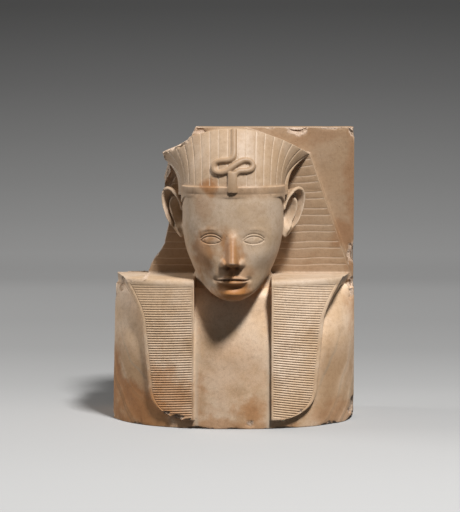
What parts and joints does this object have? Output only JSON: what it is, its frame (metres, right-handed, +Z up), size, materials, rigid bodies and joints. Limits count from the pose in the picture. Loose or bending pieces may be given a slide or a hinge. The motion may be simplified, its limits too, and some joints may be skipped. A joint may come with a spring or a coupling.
{
  "type": "royal bust",
  "caption": "Bust of a king in a striped headcloth, carved in relief on a stone slab, one upper corner broken away; stands on its flat underside.",
  "frame": {"origin": "middle of the block's underside, halfway across its width and depth", "axes": "+Z up, the face looks along -Y, +X is the side to the right as the viewer sees the face"},
  "size_m": [0.3879, 0.265, 0.467],
  "materials": {
    "limestone": "fine-grained beige limestone, rubbed smooth, with orange-brown stains and rough breaks"
  },
  "bodies": {
    "root": {"royal_bust": "limestone"}
  },
  "joints": []
}
